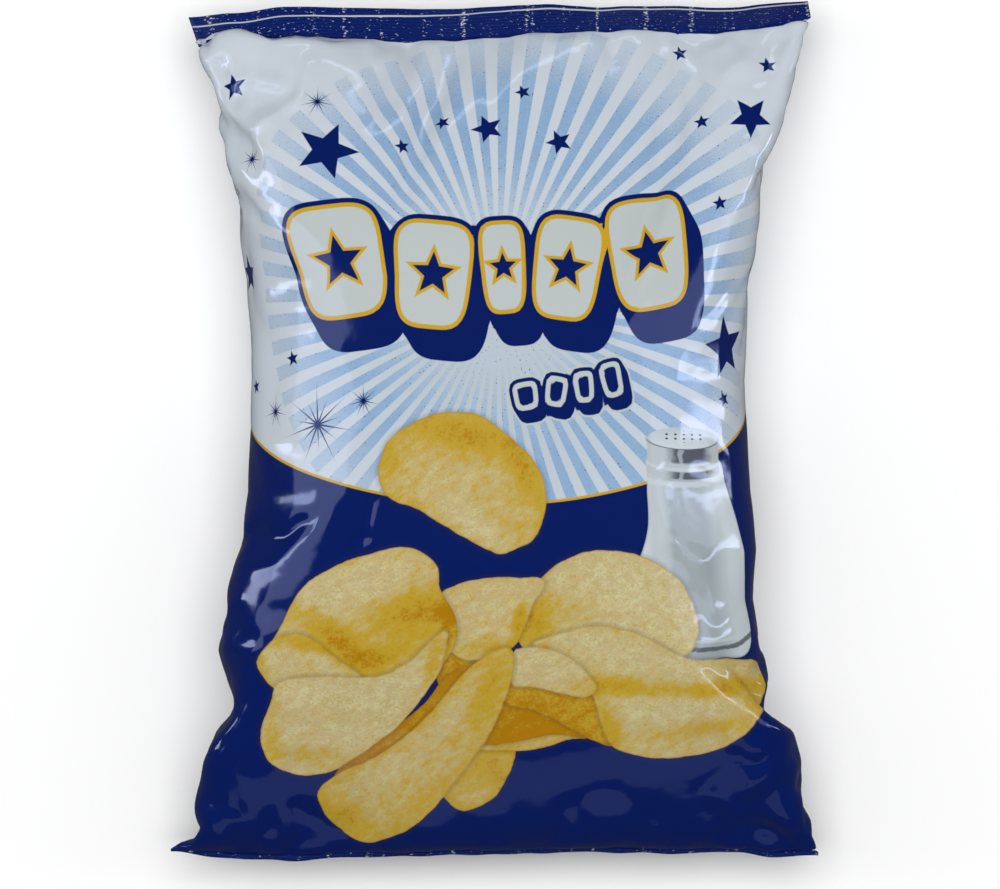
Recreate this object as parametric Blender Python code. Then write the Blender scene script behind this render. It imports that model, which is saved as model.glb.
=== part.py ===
"""A pillow bag of crisps, lying on its back with the printed front up.

The bag is one tube of film, sealed flat across both ends and blown up round the crisps. +X is the bag's
right, +Y points to its top seal and +Z out of its front. The origin is at the middle of the bounding box's
bottom, so z = 0 is the table that the bag lies on. Lengths are in metres.
"""

import math
from collections import namedtuple

import bmesh
import bpy
from mathutils import Vector

# ---------------------------------------------------------------- driving dimensions

FILM_HALF = 0.130  # half the width of the flat tube, which shows at the bottom seal's two ears
TOP_SEAL_HALF = 0.1245  # the top seal waves a little, so it measures less across
SEAL_HEIGHT = 0.011  # height of the strip that the sealing jaws press flat
SEAL_THICK = 0.0014  # both layers of the strip
TOP_EDGE = 0.1685  # y of the top seal's cut edge
BASE_EDGE = -0.1672  # y of the blunt end that the bag stood on in the shop
WAIST_HALF = 0.100  # half the bag's width across its waist
BELLY = 0.053  # how far the front stands above the seam plane at its fullest
BACK = 0.048  # how far the back would hang below it, were there no table
SEAM_HEIGHT = 0.0415  # height of the seam plane above the table at the belly
SEAM_DROOP = 0.010  # how far both seals droop below that
TOP_LEAN = 0.0025  # the top seal and the shoulders sit this far to the right

# How a section's sides close: like an ellipse, a lens, or a thin flange.
ROUND, LENS, FLANGE = 0.5, 0.85, 1.4
SEAL_FOLD = math.radians(80)  # the bottom seal is folded this far back against the blunt end

# One cross-section of the tube. The film stands front above and back below the seam plane, at (y, z), along
# a normal that is turned by fold from +Z towards -Y.
Section = namedtuple("Section", "y z left right front back side fold")


def body(y, droop, left, right, front, back, side):
    """A cross-section of the filled part. droop, front and back are shares of the sizes above."""
    z = SEAM_HEIGHT - SEAM_DROOP * droop
    return Section(y, z, left, right, BELLY * front, BACK * back, side, 0.0)


def seal(y, z, half, lean, fold=0.0):
    """A cross-section of a seal strip."""
    return Section(y, z, half - lean, half + lean, SEAL_THICK / 2, SEAL_THICK / 2, 0.05, fold)


SEAL_Z = SEAM_HEIGHT - SEAM_DROOP
FOLD_Y = BASE_EDGE - 0.0012

SECTIONS = [
    seal(FOLD_Y - SEAL_HEIGHT * math.cos(SEAL_FOLD), SEAL_Z - SEAL_HEIGHT, FILM_HALF, 0.0, SEAL_FOLD),
    seal(FOLD_Y, SEAL_Z - 0.0005, FILM_HALF, 0.0, SEAL_FOLD * 0.8),
    body(BASE_EDGE + 0.0003, 0.95, 0.1290, 0.1290, 0.16, 0.16, FLANGE),
    body(BASE_EDGE + 0.0022, 0.90, 0.1265, 0.1280, 0.40, 0.40, FLANGE),
    body(BASE_EDGE + 0.0090, 0.75, 0.1215, 0.1270, 0.62, 0.62, 1.1),
    body(-0.148, 0.50, 0.1185, 0.1230, 0.78, 0.76, LENS),
    body(-0.128, 0.30, 0.1160, 0.1165, 0.90, 0.90, 0.65),
    body(-0.108, 0.10, 0.1085, 0.1110, 0.97, 0.98, ROUND),
    body(-0.078, 0.00, 0.1080, 0.1040, 1.02, 1.00, ROUND),
    body(-0.050, 0.00, 0.1040, 0.1075, 1.02, 1.00, ROUND),
    body(-0.010, 0.00, WAIST_HALF - 0.0015, WAIST_HALF + 0.0025, 0.98, 1.00, ROUND),
    body(0.040, 0.00, WAIST_HALF - 0.0020, WAIST_HALF + 0.0030, 0.90, 0.97, ROUND),
    body(0.080, 0.20, 0.1010, 0.1075, 0.77, 0.88, 0.55),
    body(0.112, 0.45, 0.1080, 0.1130, 0.58, 0.68, 0.7),
    body(0.134, 0.70, 0.1105, 0.1175, 0.37, 0.44, LENS),
    body(0.148, 0.90, 0.1125, 0.1210, 0.18, 0.20, 1.1),
    seal(TOP_EDGE - SEAL_HEIGHT, SEAL_Z, TOP_SEAL_HALF - 0.003, TOP_LEAN),
    seal(TOP_EDGE, SEAL_Z - 0.001, TOP_SEAL_HALF, TOP_LEAN),
]
ROWS_BETWEEN = 3  # rows of the mesh from one section to the next
AROUND = 64  # points round each row, half of them on the front

# Where the film is gathered: puckers that run down from each seal, and the larger dents.
PUCKER_PITCH = 0.034
PUCKER_DEPTH = 0.0022
PUCKER_REACH = 0.030
Dent = namedtuple("Dent", "x y radius depth")
DENTS = [
    Dent(-0.086, 0.126, 0.020, 0.0050),  # the crushed shoulder under the top seal's left end
    Dent(0.096, 0.070, 0.016, 0.0040),  # the pinches down the right side
    Dent(0.100, -0.078, 0.018, 0.0060),
    Dent(-0.100, -0.092, 0.016, 0.0050),  # the pinch above the bottom left ear
    Dent(-0.060, -0.010, 0.030, 0.0025),
    Dent(0.050, -0.150, 0.022, 0.0030),
]
WAVE_HEIGHT = 0.0018  # the top seal waves up and down by this much
WAVE_PITCH = 0.115
# The top seal's right end lies this far up the bag from its middle, and its left end as far down.
SEAL_RISE = 0.0025


# ---------------------------------------------------------------- the film's shape


def slopes(values):
    """Slopes that carry a smooth line through values with no overshoot."""
    steps = [b - a for a, b in zip(values, values[1:])]
    inner = [2 * a * b / (a + b) if a * b > 0 else 0.0 for a, b in zip(steps, steps[1:])]
    return [steps[0], *inner, steps[-1]]


def eased(values, slope, place):
    """The smooth line through values, at place, which counts from 0 at the first of them."""
    i = min(int(place), len(values) - 2)
    t = place - i
    a, b = values[i], values[i + 1]
    rise = (3 - 2 * t) * t * t
    return a + (b - a) * rise + (t - 2 * t * t + t**3) * slope[i] + (t**3 - t * t) * slope[i + 1]


def section_at(place):
    """The cross-section part way between two of SECTIONS."""
    return Section(*(eased(values, slope, place) for values, slope in COLUMNS))


COLUMNS = [(values, slopes(values)) for values in zip(*SECTIONS)]


def puckers(x, y):
    """How far the film is drawn in by the gathers of the nearer seal, which fade away from it."""
    away = min(TOP_EDGE - SEAL_HEIGHT - y, y - BASE_EDGE)
    if away <= 0:
        return 0.0
    fade = math.exp(-away / PUCKER_REACH) * (1 - math.exp(-away / 0.006))
    return PUCKER_DEPTH * fade * (1 + math.cos(2 * math.pi * x / PUCKER_PITCH + 9 * away))


def dents(x, y):
    """How far the film is pushed in by the dents on the front."""
    return sum(
        dent.depth * math.exp(-((x - dent.x) ** 2 + (y - dent.y) ** 2) / dent.radius**2) for dent in DENTS
    )


def film_point(turn, place):
    """Where the film is: turn is 0 at the right side, goes over the front to 0.5 at the left, and back."""
    s = section_at(place)
    across = math.cos(2 * math.pi * turn)
    x = across * (s.right if across > 0 else s.left)
    rise = max(1 - across * across, 0.0) ** s.side
    on_front = turn < 0.5
    height = s.front * rise if on_front else -s.back * rise
    if s.fold == 0.0:
        drawn_in = (puckers(x, s.y) + dents(x, s.y) * on_front) * rise
        height += -drawn_in if on_front else drawn_in
    near_top = max(0.0, s.y / TOP_EDGE) ** 6
    y = s.y - height * math.sin(s.fold) + near_top * SEAL_RISE * x / TOP_SEAL_HALF
    z = s.z + height * math.cos(s.fold) + near_top * WAVE_HEIGHT * math.sin(2 * math.pi * x / WAVE_PITCH)
    return Vector((x, y, max(z, 0.0)))


# ---------------------------------------------------------------- the solid


def cap(bm, ring):
    """Closes a seal's cut edge, between the front layer and the back one."""
    half = len(ring) // 2
    for i in range(half):
        corners = [ring[i], ring[i + 1], ring[-i - 1], ring[-i]]
        bm.faces.new(list(dict.fromkeys(corners)))


def make_bag(collection):
    """Lofts the tube of film through the sections and closes both cut edges."""
    rows = (len(SECTIONS) - 1) * ROWS_BETWEEN
    bm = bmesh.new()
    rings = []
    for row in range(rows + 1):
        place = row / ROWS_BETWEEN
        rings.append([bm.verts.new(film_point(i / AROUND, place)) for i in range(AROUND)])
    for lower, upper in zip(rings, rings[1:]):
        for i in range(AROUND):
            bm.faces.new((lower[i - 1], lower[i], upper[i], upper[i - 1]))
    cap(bm, rings[0])
    cap(bm, rings[-1])
    bmesh.ops.recalc_face_normals(bm, faces=bm.faces)
    mesh = bpy.data.meshes.new("bag")
    bm.to_mesh(mesh)
    bm.free()
    mesh.shade_smooth()
    bag = bpy.data.objects.new("bag", mesh)
    collection.objects.link(bag)
    return bag


def film_material():
    """Glossy printed film, in the navy that covers most of the bag."""
    material = bpy.data.materials.new("printed film")
    material.use_nodes = True
    shader = material.node_tree.nodes["Principled BSDF"]
    shader.inputs["Base Color"].default_value = (0.012, 0.022, 0.140, 1.0)
    shader.inputs["Roughness"].default_value = 0.25
    shader.inputs["Metallic"].default_value = 0.0
    return material


def main():
    for old in list(bpy.data.objects):
        bpy.data.objects.remove(old)
    collection = bpy.data.collections.new("Bag of crisps")
    bpy.context.scene.collection.children.link(collection)
    bag = make_bag(collection)
    bag.data.materials.append(film_material())


main()
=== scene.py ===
"""A sealed pillow bag of crisps, lying on its back with the printed front up."""

import math

import bmesh
import bpy
import numpy as np
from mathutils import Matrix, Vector, noise


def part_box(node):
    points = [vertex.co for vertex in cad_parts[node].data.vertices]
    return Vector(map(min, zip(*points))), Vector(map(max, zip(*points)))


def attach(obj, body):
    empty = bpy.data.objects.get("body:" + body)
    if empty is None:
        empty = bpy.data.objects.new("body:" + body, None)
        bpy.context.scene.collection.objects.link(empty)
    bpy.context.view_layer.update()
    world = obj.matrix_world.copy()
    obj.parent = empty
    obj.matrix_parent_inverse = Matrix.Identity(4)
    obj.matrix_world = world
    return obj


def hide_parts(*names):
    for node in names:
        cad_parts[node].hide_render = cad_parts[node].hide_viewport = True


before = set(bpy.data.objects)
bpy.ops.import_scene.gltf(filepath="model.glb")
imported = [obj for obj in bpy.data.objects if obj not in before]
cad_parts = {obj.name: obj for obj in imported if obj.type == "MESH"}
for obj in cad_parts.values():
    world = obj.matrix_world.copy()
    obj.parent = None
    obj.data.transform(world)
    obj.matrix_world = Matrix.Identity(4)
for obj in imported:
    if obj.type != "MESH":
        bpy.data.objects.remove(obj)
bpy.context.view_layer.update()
scene = bpy.context.scene
bag_low, bag_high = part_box("bag")

# ---------------------------------------------------------------------------------------------------------
# The bag's film: one web of glossy printed film, rolled into a tube that is 260 mm across when it lies flat,
# sealed straight across at both ends and blown up round the crisps. It starts here as that flat tube, the
# seals are drawn together, and the air inside pushes it out until the table and its own girth hold it.

FILM_WIDTH = 0.260  # across the flat tube
FILM_LENGTH = 0.358  # between the two seals, along the flat film
SEAL_HEIGHT = 0.0118  # of each crimped strip
TOP_SEAL_WIDTH = 0.249  # the top seal waves, so it measures less across
TOP_SEAL_SWAY = [  # how far along the bag its lower edge strays, at these places across the flat tube
    (-0.130, -0.0046), (-0.112, -0.0032), (-0.090, -0.0006), (-0.035, -0.0010), (0.025, 0.0018),
    (0.060, 0.0030), (0.093, 0.0022), (0.130, 0.0066),
]
TOP_SEAL_WAVE = 0.0026
TOP_SEAL_PITCH = 0.115
TOP_LEAN = 0.0025  # the top seal sits this far to the right
TOP_LEFT_IN, TOP_RIGHT_IN = 0.0030, 0.0010  # how far its two ends are drawn in
TOP_LINE = bag_high.y - 0.0125  # y of the top seal's lower edge, but for its sway
BOTTOM_LINE = bag_low.y + 0.0022  # y of the bottom seal's fold, but for its sway
BOTTOM_SEAL_SWAY = [
    (-0.130, 0.0005), (-0.100, -0.0025), (-0.078, -0.0029), (-0.055, -0.0013), (0.000, -0.0004),
    (0.041, 0.0006), (0.065, 0.0), (0.097, 0.0006), (0.113, -0.0018), (0.130, -0.0008),
]
SEAL_LEVEL = 0.0315  # how far both seals lie above the table
COLUMNS, ROWS = 128, 86  # of the film's mesh, round the tube and along it
CLOSING_FRAMES, INFLATING_FRAMES = 20, 45
COLLISION_GAP = 0.0018  # what the simulation keeps between film and table
TABLE_HALF = 0.4  # half of the side of the simulation's table
LAP_PROUD = 0.0004  # how far the back seam stands out of the film, which lies on it


def across_tube(u):
    """Where a point of the web lies across the flat tube, and whether on its front (1) or its back (-1).
    u runs round the web from the back's middle, over the left side, to the back's middle again."""
    if abs(u) <= FILM_WIDTH / 2:
        return u, 1
    return math.copysign(FILM_WIDTH - abs(u), u), -1


def eased(stations, place):
    """The value at a place on the smooth line through the stations, which are pairs of place and value."""
    for (low, low_value), (high, high_value) in zip(stations, stations[1:]):
        if place <= high:
            share = min(1.0, max(0.0, (place - low) / (high - low)))
            return low_value + (high_value - low_value) * share * share * (3 - 2 * share)
    return stations[-1][1]


def top_seal_point(across):
    """A point on the line where the film goes into the top seal."""
    left, right = max(0.0, -2 * across / FILM_WIDTH), max(0.0, 2 * across / FILM_WIDTH)
    x = across * TOP_SEAL_WIDTH / FILM_WIDTH + TOP_LEAN + TOP_LEFT_IN * left**3 - TOP_RIGHT_IN * right**3
    y = TOP_LINE + eased(TOP_SEAL_SWAY, across)
    return Vector((x, y, SEAL_LEVEL + TOP_SEAL_WAVE * math.sin(math.tau * across / TOP_SEAL_PITCH)))


def bottom_seal_point(across):
    """A point on the line where the film goes into the bottom seal."""
    return Vector((across - 0.001, BOTTOM_LINE + eased(BOTTOM_SEAL_SWAY, across), SEAL_LEVEL))


def new_piece(name, bm):
    """Makes the object of that name from a bmesh, shaded smooth."""
    mesh = bpy.data.meshes.new(name)
    bm.to_mesh(mesh)
    bm.free()
    mesh.shade_smooth()
    piece = bpy.data.objects.new(name, mesh)
    scene.collection.objects.link(piece)
    return piece


def applied(piece):
    """Leaves the piece as its modifiers make it, with no modifier left."""
    graph = bpy.context.evaluated_depsgraph_get()
    mesh = bpy.data.meshes.new_from_object(piece.evaluated_get(graph))
    piece.modifiers.clear()
    if piece.data.shape_keys:
        piece.shape_key_clear()
    piece.data = mesh
    return piece


def flat_tube():
    """The empty tube, flat, with its print map: u across the web and v along it, in metres."""
    bm = bmesh.new()
    bmesh.ops.create_grid(bm, x_segments=COLUMNS, y_segments=ROWS, size=0.5)
    print_map = bm.loops.layers.uv.new("print")
    slack = (FILM_LENGTH - (TOP_LINE - BOTTOM_LINE)) / 2
    for face in bm.faces:
        for loop in face.loops:
            loop[print_map].uv = (loop.vert.co.x * 2 * FILM_WIDTH, loop.vert.co.y * FILM_LENGTH)
    for vert in bm.verts:
        across, side = across_tube(vert.co.x * 2 * FILM_WIDTH)
        along = vert.co.y + 0.5
        edge = max(0.0, 1 - (2 * across / FILM_WIDTH) ** 2) * max(0.0, math.sin(math.pi * along))
        vert.co = (across, BOTTOM_LINE - slack + FILM_LENGTH * along, SEAL_LEVEL + side * 0.004 * edge**0.5)
    bmesh.ops.remove_doubles(bm, verts=bm.verts, dist=1e-5)
    return new_piece("film", bm)


def blow_up(film):
    """Draws the seals to where they end up and lets the air inside push the film out onto the table."""
    lengthwise = [vert.co.y for vert in film.data.vertices]
    ends = {min(lengthwise): bottom_seal_point, max(lengthwise): top_seal_point}
    held = {
        vert.index: seal
        for vert in film.data.vertices
        for y, seal in ends.items()
        if abs(vert.co.y - y) < 1e-5
    }
    film.vertex_groups.new(name="seals").add(list(held), 1.0, "REPLACE")
    film.shape_key_add(name="flat")
    closed = film.shape_key_add(name="closed")
    for index, seal in held.items():
        closed.data[index].co = seal(film.data.vertices[index].co.x)
    for share, when in ((0.0, 1), (1.0, CLOSING_FRAMES)):
        closed.value = share
        closed.keyframe_insert("value", frame=when)

    cloth = film.modifiers.new("film under pressure", "CLOTH")
    cloth.point_cache.frame_end = INFLATING_FRAMES
    settings = cloth.settings
    settings.quality = 6
    settings.mass = 0.1
    settings.tension_stiffness = 60
    settings.compression_stiffness = 5
    settings.shear_stiffness = 20
    settings.bending_stiffness = 0.05
    settings.air_damping = 2
    settings.vertex_group_mass = "seals"
    settings.use_pressure = True
    settings.uniform_pressure_force = 30
    settings.effector_weights.gravity = 0
    cloth.collision_settings.distance_min = COLLISION_GAP / 2

    bm = bmesh.new()
    bmesh.ops.create_grid(bm, x_segments=1, y_segments=1, size=TABLE_HALF)
    bmesh.ops.translate(bm, vec=(0, 0, LAP_PROUD - COLLISION_GAP), verts=bm.verts)
    table = new_piece("table", bm)
    table.modifiers.new("firm", "COLLISION")
    table.collision.thickness_outer = COLLISION_GAP / 2
    table.collision.cloth_friction = 2
    for when in range(1, INFLATING_FRAMES + 1):
        scene.frame_set(when)
    applied(film)
    bpy.data.objects.remove(table)
    scene.frame_set(1)


# The waist is pulled in and the ears let out a little, at these places along the bag: y, and the scale of the
# left and of the right half.
TRIM = [
    (-0.170, 1.005, 1.006), (-0.160, 0.962, 1.025), (-0.150, 0.980, 1.050), (-0.132, 1.010, 1.100),
    (-0.120, 1.000, 1.108), (-0.108, 0.982, 1.072), (-0.088, 1.033, 0.995), (-0.068, 1.020, 0.960),
    (-0.048, 0.990, 0.975), (-0.025, 0.944, 0.940), (0.020, 0.930, 0.912), (0.060, 0.948, 0.935),
    (0.092, 1.025, 0.965), (0.120, 1.045, 0.995), (0.140, 1.030, 1.000), (0.158, 1.030, 1.0),
]

# Folds that handling left in the front, in millimetres: x and y of the one end and of the other, the half
# width of the fold, and how deep it goes, or with a minus sign how high its ridge stands.
FOLDS = [
    # the crushed left shoulder
    (-74, 147, -79, 131, 6, -2.6),
    (-79, 131, -92, 123, 6, -2.8),
    (-92, 123, -105, 116, 6, -2.8),
    (-100, 141, -86, 137, 5, -3),
    (-86, 137, -83, 144, 5, -1.6),
    (-112, 146, -105, 131, 6, 3.8),
    (-105, 131, -104, 116, 6, 2.2),
    # gathers under the top seal
    (-55, 156, -49, 142, 5, 1.1),
    (-36, 157, -36, 146, 5, 1.4),
    (41, 158, 47, 149, 5, 1.3),
    (71, 159, 83, 150, 5, 1.5),
    (83, 150, 92, 155, 5, -1.4),
    (95, 158, 102, 148, 5, 1.6),
    (102, 148, 91, 142, 5, -1.2),
    # the right shoulder and side
    (114, 128, 100, 114, 5, -1.4),
    (100, 114, 82, 103, 6, -0.9),
    (104, 110, 105, 78, 6, -0.9),
    # the long crease that runs down from the middle of the right half
    (61, 10, 61, -16, 8, -0.8),
    (61, -16, 68, -43, 8, -1.1),
    (68, -43, 80, -52, 7, -1.3),
    (80, -52, 88, -77, 7, -1.2),
    (88, -77, 101, -70, 6, 1.4),
    (98, -12, 103, -44, 6, 1.2),
    # the left half
    (-63, 30, -56, 17, 8, -0.6),
    (-56, 17, -49, 2, 8, -0.7),
    (-49, -27, -53, -43, 5, 0.9),
    (-53, -43, -57, -48, 5, 0.8),
    (-110, -93, -96, -94, 6, 1.8),
    (-103, -98, -97, -92, 5, -1),
    # the crushed right edge and bottom corners
    (100, -84, 111, -100, 6, -2.2),
    (111, -100, 104, -114, 6, 2.4),
    (104, -114, 116, -122, 6, -2.6),
    (92, -112, 104, -122, 5, 1.8),
    (86, -146, 100, -158, 6, -2.2),
    (100, -158, 120, -163, 5, 2),
    (-122, -140, -108, -152, 6, 2.2),
    (-108, -152, -96, -163, 6, -2.6),
    (-104, -100, -110, -124, 6, 2.2),
    (-80, -150, -62, -160, 6, 1.6),
    (-117, -151, -110, -167, 5, -1.3),
    (-92, -154, -84, -168, 5, 1.4),
    (-104, -152, -97, -166, 5, 1.2),
    (94, -129, 103, -133, 5, 1.3),
    (99, -145, 110, -132, 6, -1.4),
    (112, -120, 106, -132, 5, 1.6),
    (114, -132, 114, -145, 5, -1.4),
    (58, -158, 68, -163, 5, -0.9),
    (30, -150, 38, -166, 6, 1.2),
]
# Broader dents, in millimetres: x and y, how wide and how deep.
DENTS = [
    (-93, 134, 14, 7),
    (-75, -20, 30, 1.6),
    (78, -30, 20, 1.4),
    (20, 118, 28, 1.2),
    (90, -135, 18, 3),
    (-96, -118, 18, 1.6),
]
WEB_END = FILM_LENGTH / 2  # the print map's v at the seals
TABLE_GAP = 0.004  # the film lower than this lies flat on the table


def fold_height(x, y):
    """How far the folds and dents move the front out, in metres, at arrays of places."""
    height = np.zeros_like(x)
    for x0, y0, x1, y1, half_width, depth in np.array(FOLDS) / 1000:
        run_x, run_y = x1 - x0, y1 - y0
        share = np.clip(((x - x0) * run_x + (y - y0) * run_y) / (run_x**2 + run_y**2), 0, 1)
        away = np.hypot(x - x0 - share * run_x, y - y0 - share * run_y) / half_width
        height -= depth * np.clip(1 - away, 0, 1) ** 1.6
    for centre_x, centre_y, radius, depth in np.array(DENTS) / 1000:
        height -= depth * np.exp(-((x - centre_x) ** 2 + (y - centre_y) ** 2) / radius**2)
    return height


def puckers(u, v, across, along, seed):
    """Smooth noise from about -0.5 to 0.5 over the web, of that size across it and along it."""
    places = zip(u / across + seed, v / along + seed)
    return np.array([noise.noise(Vector((at_u, at_v, seed))) for at_u, at_v in places])


def crumple(u, v, x):
    """How far the film's own small puckers move it out: deepest where it is gathered into the seals, shallow
    over its front."""
    from_seal = WEB_END - np.abs(v)
    gathers = np.exp(-from_seal / 0.016) * np.minimum(1, from_seal / 0.005)
    flank = np.clip((np.abs(x) - 0.070) / 0.030, 0, 1)
    worn = np.exp(-from_seal / 0.045)
    lines = np.abs(puckers(u, v, 0.017, 0.060, 3.37)) - 0.25
    facets = np.abs(puckers(u, v, 0.030, 0.034, 7.61)) - 0.25
    swell = puckers(u, v, 0.075, 0.090, 11.43)
    creased = (0.0004 + 0.0024 * np.maximum(flank, worn)) * facets
    corner = np.exp(-from_seal / 0.050) * np.clip((np.abs(x) - 0.060) / 0.050, 0, 1)
    creased += 0.0060 * corner * (np.abs(puckers(u, v, 0.019, 0.023, 5.17)) - 0.2)
    return 0.0042 * gathers * lines + creased + 0.0016 * swell * (1 - gathers)


def web_of(mesh):
    """Where each vertex lies in the print map."""
    corners = np.empty(len(mesh.loops), np.int32)
    mesh.loops.foreach_get("vertex_index", corners)
    corner_uv = np.empty(len(mesh.loops) * 2, np.float32)
    mesh.uv_layers["print"].data.foreach_get("uv", corner_uv)
    web = np.empty((len(mesh.vertices), 2))
    web[corners] = corner_uv.reshape(-1, 2)
    return web


def settle(film):
    """Trims the blown-up film's outline and presses the puckers, folds and dents into it."""
    mesh = film.data
    web = web_of(mesh)
    places, normals = (np.empty(len(mesh.vertices) * 3, np.float32) for _ in range(2))
    mesh.vertices.foreach_get("co", places)
    mesh.vertices.foreach_get("normal", normals)
    places, normals = places.reshape(-1, 3), normals.reshape(-1, 3)
    (u, v), (x, y, z) = web.T, places.T
    at, left, right = np.array(TRIM).T
    rightness = np.clip((x + 0.06) / 0.12, 0, 1)
    rightness = rightness**2 * (3 - 2 * rightness)
    x = x * (np.interp(y, at, left) * (1 - rightness) + np.interp(y, at, right) * rightness)
    free = np.minimum(1, (WEB_END - np.abs(v)) / 0.003)
    lift = crumple(u, v, x) * free * (z > TABLE_GAP)
    moved = np.stack((x, y, z), axis=1) + normals * lift[:, None]
    moved[:, 2] += fold_height(x, y) * free * np.clip(normals[:, 2], 0, 1)
    mesh.vertices.foreach_set("co", moved.astype(np.float32).ravel())
    mesh.update()


film = flat_tube()
blow_up(film)
fine = film.modifiers.new("fine mesh", "SUBSURF")
fine.levels = fine.render_levels = 1
applied(film)
settle(film)
film.data.shade_smooth()

# ---------------------------------------------------------------------------------------------------------
# The film's print: a pale field with a sunburst above, navy below, a gold line between them, and pictures of
# crisps and of a salt shaker. It is printed on the inside of clear film, so all of it lies under one gloss.

# It is laid out on the print map in millimetres, from the middle of the front. The film's mesh carries, at
# each vertex, how far that place lies outside each printed shape, and the finish inks what lies inside.

NAVY = (0.0008, 0.0085, 0.094)
PALE = (0.500, 0.550, 0.605)
GLOW = (0.415, 0.475, 0.520)
FACE_WHITE = (0.430, 0.475, 0.470)
RAY_BLUE = (0.225, 0.355, 0.530)
GOLD_LINE = (0.500, 0.300, 0.012)
SPECK_BLUE = (0.02, 0.05, 0.17)


def smooth_outline(points, steps=6):
    """A closed smooth line through the points."""
    near = np.array(points, float)
    before, after, far = np.roll(near, 1, 0), np.roll(near, -1, 0), np.roll(near, -2, 0)
    line = []
    for share in np.arange(steps) / steps:
        bent = (2 * before - 5 * near + 4 * after - far) * share**2
        bent += (3 * near - before - 3 * after + far) * share**3
        line.append(near + (after - before) * share / 2 + bent / 2)
    return np.stack(line, axis=1).reshape(-1, 2)


def outside(line, places):
    """How far each place lies outside the closed line, with a minus sign inside it."""
    x, y = places.T
    nearest, inside = np.full(len(places), np.inf), np.zeros(len(places), bool)
    for (x0, y0), (run_x, run_y) in zip(line, np.roll(line, -1, 0) - line):
        share = np.clip(((x - x0) * run_x + (y - y0) * run_y) / (run_x**2 + run_y**2), 0, 1)
        nearest = np.minimum(nearest, np.hypot(x - x0 - share * run_x, y - y0 - share * run_y))
        if run_y:
            inside ^= ((y0 > y) != (y0 + run_y > y)) & (x < x0 + (y - y0) / run_y * run_x)
    return np.where(inside, -nearest, nearest)


def carry(film, name, values, domain="POINT"):
    """Puts a number, or a row of three, on each vertex or face of the film."""
    kind, field = ("FLOAT", "value") if values.ndim == 1 else ("FLOAT_VECTOR", "vector")
    attribute = film.data.attributes.new(name, kind, domain)
    attribute.data.foreach_set(field, values.astype(np.float32).ravel())


# Blank plaques across the sunburst, and a row of small tiles under them: centre, half width, half height and
# turn in degrees. Each stands on a navy block that is drawn out down and to the right.
PLAQUES = [
    ((-66.5, 70.5), 18.5, 22.5, 8), ((-28.0, 66.0), 15.5, 21.5, -4), ((1.0, 69.5), 9.0, 18.5, 5),
    ((28.0, 70.0), 14.0, 21.0, -6), ((62.5, 77.0), 16.5, 23.5, 11),
]
TILES = [
    ((11.5, 18.5), 5.6, 6.0, 10), ((24.5, 20.5), 5.0, 6.4, -8), ((36.5, 22.5), 4.6, 6.6, 6),
    ((48.5, 25.5), 5.0, 7.4, 14),
]
PLAQUE_DROP, TILE_DROP = (6.5, -10.5), (2.4, -3.4)
DROP_STEPS = 9


def plaque_outline(centre, half_width, half_height, turn):
    """A plaque with full corners and sides that bulge a little."""
    around = np.linspace(0, math.tau, 48, endpoint=False)
    across, along = (np.sign(wave) * np.abs(wave) ** 0.5 for wave in (np.cos(around), np.sin(around)))
    c, s = math.cos(math.radians(turn)), math.sin(math.radians(turn))
    across, along = across * half_width * (1 + 0.07 * along), along * half_height
    return np.stack((centre[0] + across * c - along * s, centre[1] + across * s + along * c), axis=1)


def carry_plaques(film, name, plaques, drop, places):
    """Puts on the film its distance outside the plaques' faces, and outside their drawn-out blocks."""
    shares = np.linspace(0, 1, DROP_STEPS)
    outlines = [plaque_outline(*plaque) for plaque in plaques]
    faces = np.min([outside(outline, places) for outline in outlines], axis=0)
    blocks = [outside(outline + np.array(drop) * share, places) for outline in outlines for share in shares]
    carry(film, name, np.stack((faces, np.min(blocks, axis=0), faces), axis=1))


# Stars and sparkles: where, radius and turn. The last five stars are cut out of the plaques' faces.
STARS = [
    (-69, 116, 12.6, -20), (-40, 120.5, 3.3, 20), (-23, 132, 3.3, 21), (-5.5, 128, 6.6, 21),
    (8.5, 144.5, 3.3, 20), (23, 122.5, 5.6, 24), (74, 166.5, 3.6, 10), (110.5, 157.5, 3.8, 8),
    (83, 132.5, 3.4, 4), (103, 133.5, 9.2, 36), (92, 97, 3.2, 10), (104, 39.5, 13.0, 14),
    (102, 19, 3.4, 20), (-108.5, 144.5, 6.0, 10), (-122.5, 66, 8.0, 0), (-89.5, 32, 3.2, 12),
    (-114, 21, 3.2, 10), (-66.5, 70.5, 10.5, 8), (-28, 66, 9.0, -4), (1, 69.5, 5.8, 5), (28, 70, 8.4, -6),
    (62.5, 77, 9.8, 11),
]
SPARKLES = [
    (-74, 137.5, 5.8, 4), (-102.5, 113, 5.4, 4), (-76.5, 6, 14.5, 5), (-99, 11, 5.8, 2),
    (-57, 15.5, 5.8, 3),
]


def carry_nearest(film, name, shapes, places):
    """Puts on each face of the film the centre, radius and turn of the shape that lies nearest to it."""
    shapes = np.array(shapes, float)
    away = np.hypot(places[:, None, 0] - shapes[:, 0], places[:, None, 1] - shapes[:, 1]) - shapes[:, 2]
    nearest = shapes[np.argmin(away, axis=1)]
    carry(film, name, nearest[:, :3], "FACE")
    carry(film, name + "_turn", nearest[:, 3], "FACE")


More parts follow.
